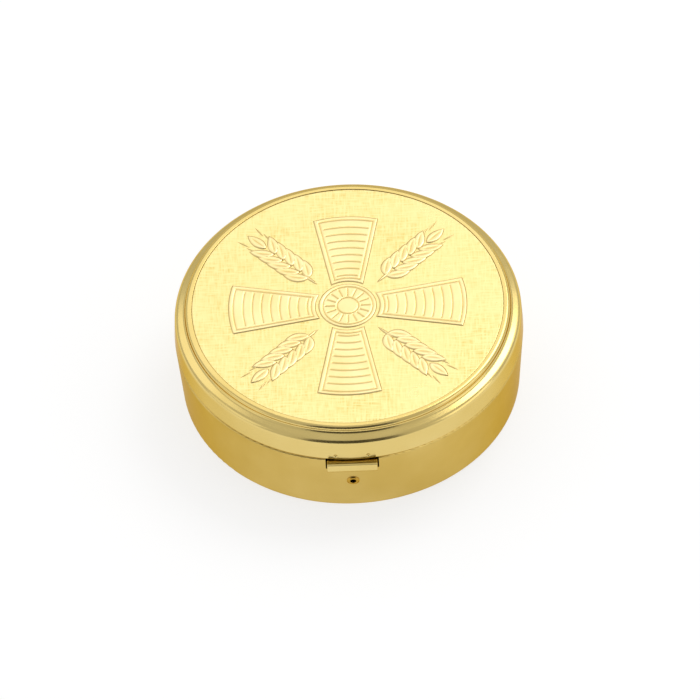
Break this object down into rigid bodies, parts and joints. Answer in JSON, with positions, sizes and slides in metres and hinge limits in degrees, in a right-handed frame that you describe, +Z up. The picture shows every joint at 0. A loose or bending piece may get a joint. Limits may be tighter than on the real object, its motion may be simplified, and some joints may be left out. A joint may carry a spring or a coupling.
{
  "type": "pyx",
  "caption": "Round, flat hinged box of gilt brass for carrying hosts, with a relief plate set in its lid and a thumb catch at the front.",
  "frame": {"origin": "centre of the flat bottom, on the surface the box stands on", "axes": "+Z up, the catch faces -Y, the hinge is at +Y and its axis lies along X"},
  "size_m": [0.08, 0.0849, 0.0254],
  "materials": {
    "polished_gold": "polished gilt brass",
    "satin_gold": "satin gilt brass",
    "linen_gold": "gilt brass with a fine linen ground",
    "spring_brass": "rolled spring brass"
  },
  "bodies": {
    "base": {"base_cup": "satin_gold", "base_collar": "satin_gold", "eyelet_rivet": "polished_gold", "base_hinge_leaf": "polished_gold", "hinge_pin": "polished_gold"},
    "lid": {"lid_shell": "polished_gold", "emblem_plate": "linen_gold", "lid_strike": "satin_gold", "lid_hinge_leaf": "polished_gold"},
    "catch": {"thumb_bar": "polished_gold", "catch_spring": "spring_brass"}
  },
  "joints": [
    {"name": "lid_hinge", "type": "hinge", "parent": "base", "child": "lid", "pos_m": [0, 0.0416, 0.0172], "axis": [-1, 0, 0], "range_deg": [0, 105]},
    {"name": "catch_press", "type": "hinge", "parent": "base", "child": "catch", "pos_m": [0, -0.03818, 0.01125], "axis": [-1, 0, 0], "range_deg": [0, 8], "stiffness_Nm_per_rad": 0.12, "deforming": ["catch_spring"]}
  ]
}
